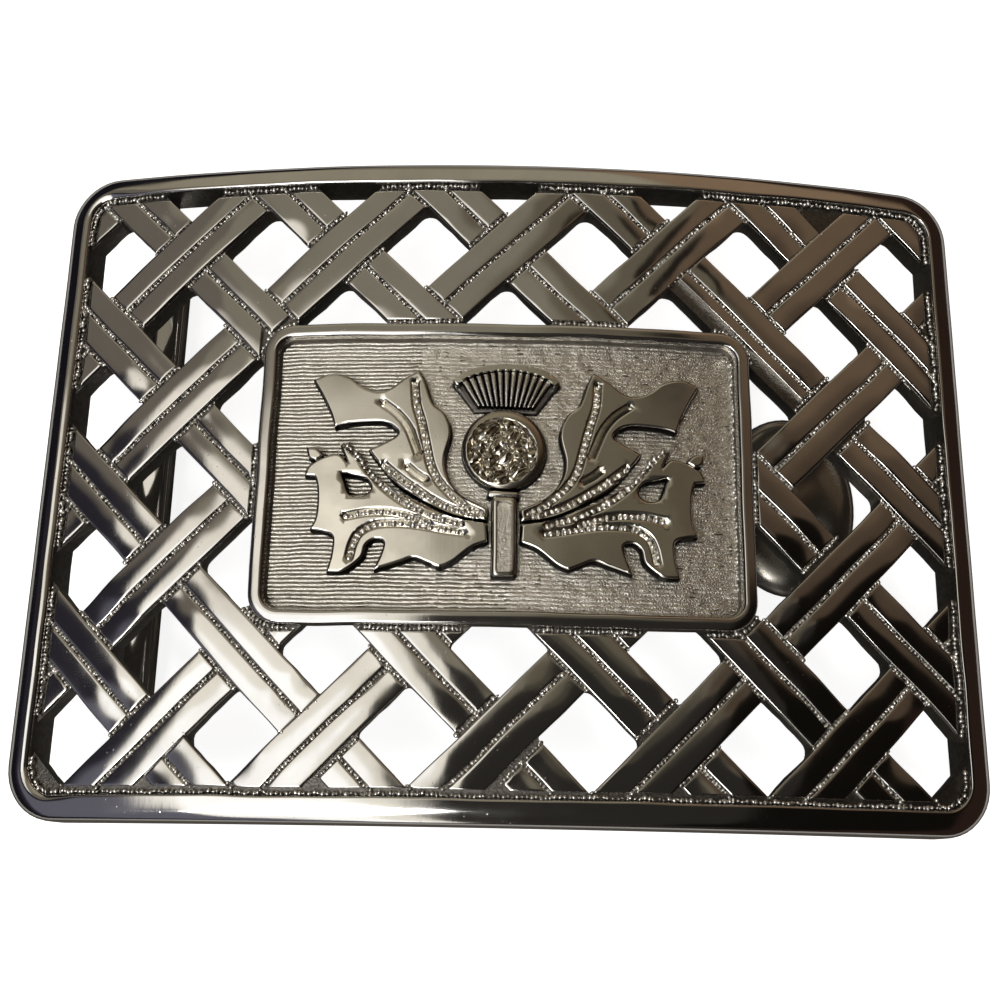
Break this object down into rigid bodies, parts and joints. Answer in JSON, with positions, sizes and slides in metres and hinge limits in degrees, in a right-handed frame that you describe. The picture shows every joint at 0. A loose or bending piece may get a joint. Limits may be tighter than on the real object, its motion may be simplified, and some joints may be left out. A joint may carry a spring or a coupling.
{
  "type": "kilt belt buckle",
  "caption": "Bowed pierced metal belt buckle: woven lattice, raised rim and thistle plaque on the front, belt bar and hook stud behind.",
  "frame": {"origin": "on the plane that the bar and the stud rest on, under the middle of the casting", "axes": "+Z out of the buckle's front, +X along its length from the belt bar to the hook stud, +Y to its top edge, the thistle's flower up"},
  "size_m": [0.0906, 0.0654, 0.0173],
  "materials": {
    "chromed_casting": "mirror polished bands over rough cast grooves",
    "chromed_bar": "polished",
    "chromed_stud": "polished, faintly grained"
  },
  "bodies": {
    "root": {"lattice_plate": "chromed_casting", "belt_bar": "chromed_bar", "hook_stud": "chromed_stud"}
  },
  "joints": []
}
